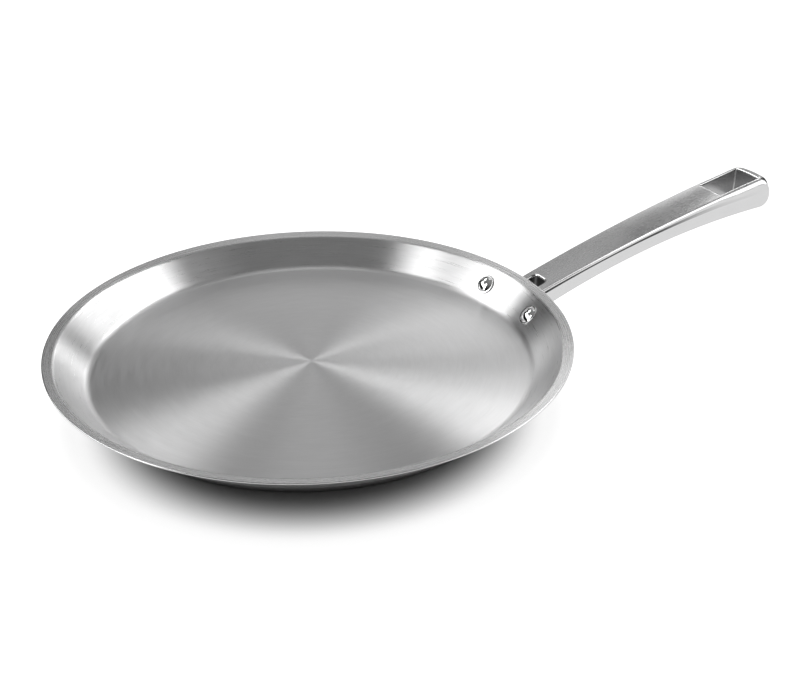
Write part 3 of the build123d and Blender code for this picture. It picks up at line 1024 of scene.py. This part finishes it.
# A lamp that faces the pan from a direction, at a power of four times radiance times area.
def makeLamp(name, distance, azimuth, elevation, roll, halfWidth, halfHeight, radiance):
    data = bpy.data.lights.new(name, "AREA")
    data.shape = "RECTANGLE"
    data.size, data.size_y = 2 * distance * halfWidth, 2 * distance * halfHeight
    data.energy = 4 * radiance * data.size * data.size_y
    lamp = newObject(name, data)
    azimuth, elevation = math.radians(azimuth), math.radians(elevation)
    flat = math.cos(elevation)
    way = Vector((flat * math.cos(azimuth), flat * math.sin(azimuth), math.sin(elevation)))
    facing = way.to_track_quat("Z", "Y").to_matrix().to_4x4() @ Matrix.Rotation(math.radians(roll), 4, "Z")
    lamp.matrix_world = Matrix.Translation(way * distance) @ facing
    lamp.visible_camera = False
    return lamp


# One for rays that see plain white: the camera's, those through glass, and where mirrored those off metal.
def whiteRays(tree, mirrored):
    path = addNode(tree, "ShaderNodeLightPath").outputs
    rays = mathOf(tree, "MAXIMUM", path["Is Camera Ray"], path["Is Transmission Ray"])
    return mathOf(tree, "MAXIMUM", rays, path["Is Glossy Ray"]) if mirrored else rays


# The floor is grey paper that glows: near, a power of a soft step for metal and camera, which paints the pan's
# soft shadow; and far for the camera, which whitens over the handle's shadow.
def makeStudio(plan):
    half, steps = plan["floorSize"] / 2, plan["floorSteps"]
    x, y = np.meshgrid(*[np.linspace(-half, half, steps)] * 2)
    grid = np.stack([x, y, np.zeros_like(x)], axis=-1)
    mesh = bpy.data.meshes.new("floor")
    mesh.from_pydata(grid.reshape(-1, 3).tolist(), [], gridQuads(steps, steps).tolist())
    floor = newObject("floor", mesh)
    material, tree = newMaterial("floorPaper")
    point = outOf(tree, "TexCoord", output="Object")
    away = vectorOf(tree, "LENGTH", {0: vectorOf(tree, "SUBTRACT", {0: point, 1: plan["shade"] + (0,)})}, "Value")
    near = spread(tree, away, plan["shadeSpan"], 0.0, plan["floorGlow"], True)
    near = mathOf(tree, "POWER", near, plan["shadeFall"])
    far = spread(tree, away, plan["farSpan"], 0.0, plan["farGlow"], True)
    dim = spread(tree, away, plan["dimSpan"], 1.0, plan["dimShare"], True)
    seen = whiteRays(tree, False)
    mirrored = mathOf(tree, "MAXIMUM", mathOf(tree, "MULTIPLY", dim, whiteRays(tree, True)), seen)
    glow = mathOf(tree, "MULTIPLY_ADD", far, seen, mathOf(tree, "MULTIPLY", near, mirrored))
    paper = outOf(tree, "BsdfDiffuse", {"Color": plan["floorColor"]})
    both = outOf(tree, "AddShader", {0: paper, 1: outOf(tree, "Emission", {"Strength": glow})})
    addNode(tree, "ShaderNodeOutputMaterial", {0: both})
    dress(floor, material)
    for name, box in plan["softboxes"].items():
        makeLamp(name, plan["distance"], *box).visible_diffuse = False
    makeLamp("overhead", plan["distance"], *plan["overhead"]).visible_glossy = False


makeStudio(studioPlan)


# Air: white for the camera; elsewhere the top level times the square of the upward share of the direction,
# with the floor's white fading out just above its edge.
def makeWorld(plan):
    world = bpy.data.worlds.new("studioAir")
    bpy.context.scene.world = world
    world.use_nodes = True
    tree = world.node_tree
    tree.nodes.clear()
    way = outOf(tree, "TexCoord", output="Generated")
    up = mathOf(tree, "MAXIMUM", partsOf(tree, way)[2], 0.0)
    high = mathOf(tree, "MULTIPLY", mathOf(tree, "POWER", up, 2.0), plan["airTop"])
    level = mathOf(tree, "ADD", high, spread(tree, up, (0.0, plan["airHaze"]), plan["dimShare"], 0.0, True))
    sockets = {0: whiteRays(tree, False), 2: level, 3: 1.0}
    seen = outOf(tree, "Mix", sockets, data_type="FLOAT")
    air = outOf(tree, "Background", {"Color": (1, 1, 1, 1), "Strength": seen})
    addNode(tree, "ShaderNodeOutputWorld", {0: air})


makeWorld(studioPlan)
print("studio made")
